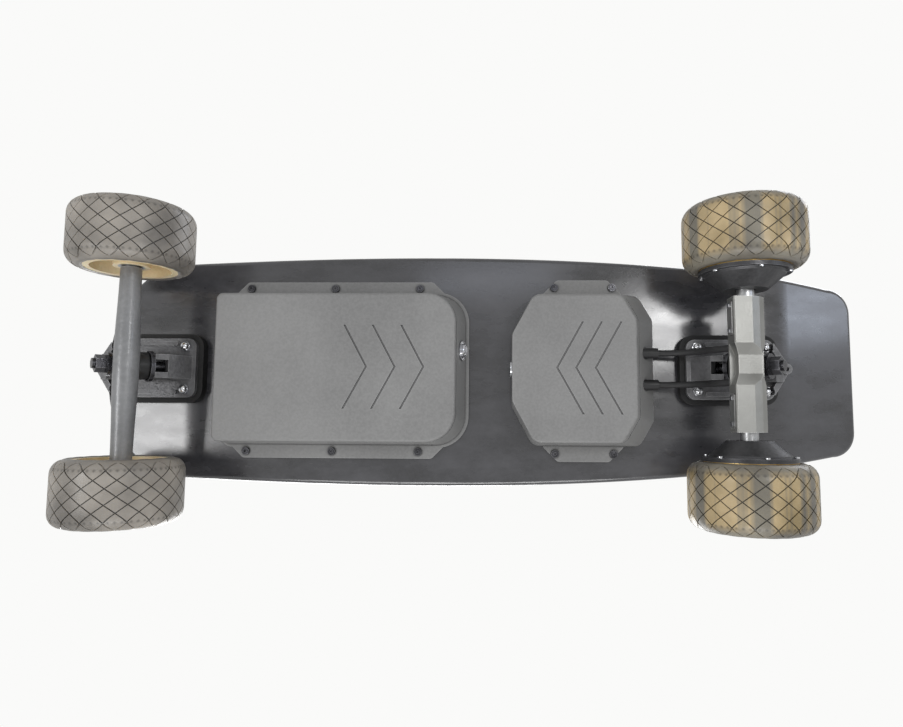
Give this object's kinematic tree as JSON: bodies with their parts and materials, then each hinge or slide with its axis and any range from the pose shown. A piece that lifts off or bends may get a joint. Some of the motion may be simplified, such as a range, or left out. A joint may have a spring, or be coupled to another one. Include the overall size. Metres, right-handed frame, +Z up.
{
  "type": "electric skateboard",
  "caption": "Short electric skateboard with a kick tail, sprung trucks, rear hub motors, and a battery box and a controller box under the deck.",
  "frame": {"origin": "on the ground under the middle of the board's bounding box", "axes": "+X to the nose, +Y to the rider's left when facing the nose, +Z up"},
  "size_m": [0.739, 0.28, 0.1507],
  "materials": {
    "deck": "high gloss black lacquer on wood",
    "grip": "gritty sheet",
    "riser": "moulded rubber",
    "cast_dark": "satin coated casting",
    "cast_grey": "satin coated forging",
    "milled": "bead blasted, milled",
    "bright_steel": "polished, zinc plated",
    "steel": "turned",
    "bushing": "poured polyurethane",
    "tyre": "smoky polyurethane",
    "front_core": "moulded nylon",
    "gold_can": "gold anodised aluminium",
    "black_metal": "black anodised",
    "box": "moulded, fine texture",
    "gasket": "foam rubber",
    "cable": "silicone sheath",
    "copper": "enamelled copper",
    "magnet": "nickel plated",
    "circuit": "circuit board",
    "cell": "shrink sleeve"
  },
  "bodies": {
    "board": {"battery_board": "circuit", "battery_box": "box", "battery_cells": "cell", "box_gaskets": "gasket", "button_housing": "bright_steel", "cable_glands": "cable", "capacitors": "cell", "cell_tray": "box", "charge_port": "bright_steel", "controller_board": "circuit", "deck": "deck", "enclosure_screws": "bright_steel", "esc_box": "box", "front_baseplate": "cast_dark", "front_boardside_bushing": "bushing", "front_roadside_bushing": "bushing", "grip_tape": "grip", "heat_plate": "black_metal", "kingpin_nuts": "bright_steel", "kingpin_washers": "bright_steel", "kingpins": "steel", "motor_cables": "cable", "pivot_cups": "bushing", "rear_baseplate": "cast_dark", "rear_boardside_bushing": "bushing", "rear_roadside_bushing": "bushing", "riser_pads": "riser", "truck_nuts": "bright_steel", "truck_screws": "bright_steel"},
    "front_truck": {"front_hanger": "cast_grey", "front_axle": "steel", "axle_spacers_and_washers": "steel", "axle_nuts": "bright_steel"},
    "rear_truck": {"rear_hanger": "milled", "rear_axle_stubs": "steel", "hanger_covers": "black_metal", "hanger_cover_screws": "bright_steel", "motor_stators": "steel", "motor_windings": "copper"},
    "front_left_wheel": {"front_left_tyre": "tyre", "front_left_hub": "front_core", "front_left_bearings": "steel"},
    "rear_left_wheel": {"rear_left_tyre": "tyre", "rear_left_motor_can": "gold_can", "rear_left_magnets": "magnet", "rear_left_inner_cover": "black_metal", "rear_left_cover_screws": "bright_steel", "rear_left_outer_cover": "black_metal", "rear_left_bearings": "steel"},
    "front_right_wheel": {"front_right_tyre": "tyre", "front_right_hub": "front_core", "front_right_bearings": "steel"},
    "rear_right_wheel": {"rear_right_tyre": "tyre", "rear_right_motor_can": "gold_can", "rear_right_magnets": "magnet", "rear_right_inner_cover": "black_metal", "rear_right_cover_screws": "bright_steel", "rear_right_outer_cover": "black_metal", "rear_right_bearings": "steel"},
    "power_switch": {"power_button": "bright_steel"}
  },
  "joints": [
    {"name": "front_truck_lean", "type": "hinge", "parent": "board", "child": "front_truck", "pos_m": [0.3227, 0, 0.0761], "axis": [0.6947, 0, 0.7193], "range_deg": [-10, 10], "stiffness_Nm_per_rad": 120, "deforming": ["front_boardside_bushing", "front_roadside_bushing"]},
    {"name": "rear_truck_lean", "type": "hinge", "parent": "board", "child": "rear_truck", "pos_m": [-0.2467, 0, 0.0761], "axis": [-0.6947, 0, 0.7193], "range_deg": [-10, 10], "stiffness_Nm_per_rad": 120, "deforming": ["rear_boardside_bushing", "rear_roadside_bushing", "motor_cables"]},
    {"name": "front_left_wheel_spin", "type": "hinge", "parent": "front_truck", "child": "front_left_wheel", "pos_m": [0.31, 0, 0.052], "axis": [0, 1, 0], "continuous": true},
    {"name": "front_right_wheel_spin", "type": "hinge", "parent": "front_truck", "child": "front_right_wheel", "pos_m": [0.31, 0, 0.052], "axis": [0, 1, 0], "continuous": true},
    {"name": "rear_left_wheel_spin", "type": "hinge", "parent": "rear_truck", "child": "rear_left_wheel", "pos_m": [-0.234, 0, 0.052], "axis": [0, 1, 0], "continuous": true},
    {"name": "rear_right_wheel_spin", "type": "hinge", "parent": "rear_truck", "child": "rear_right_wheel", "pos_m": [-0.234, 0, 0.052], "axis": [0, 1, 0], "continuous": true},
    {"name": "power_button_press", "type": "slide", "parent": "board", "child": "power_switch", "axis": [0.9709, 0, 0.2394], "range_m": [0, 0.0015], "stiffness_N_per_m": 600}
  ]
}
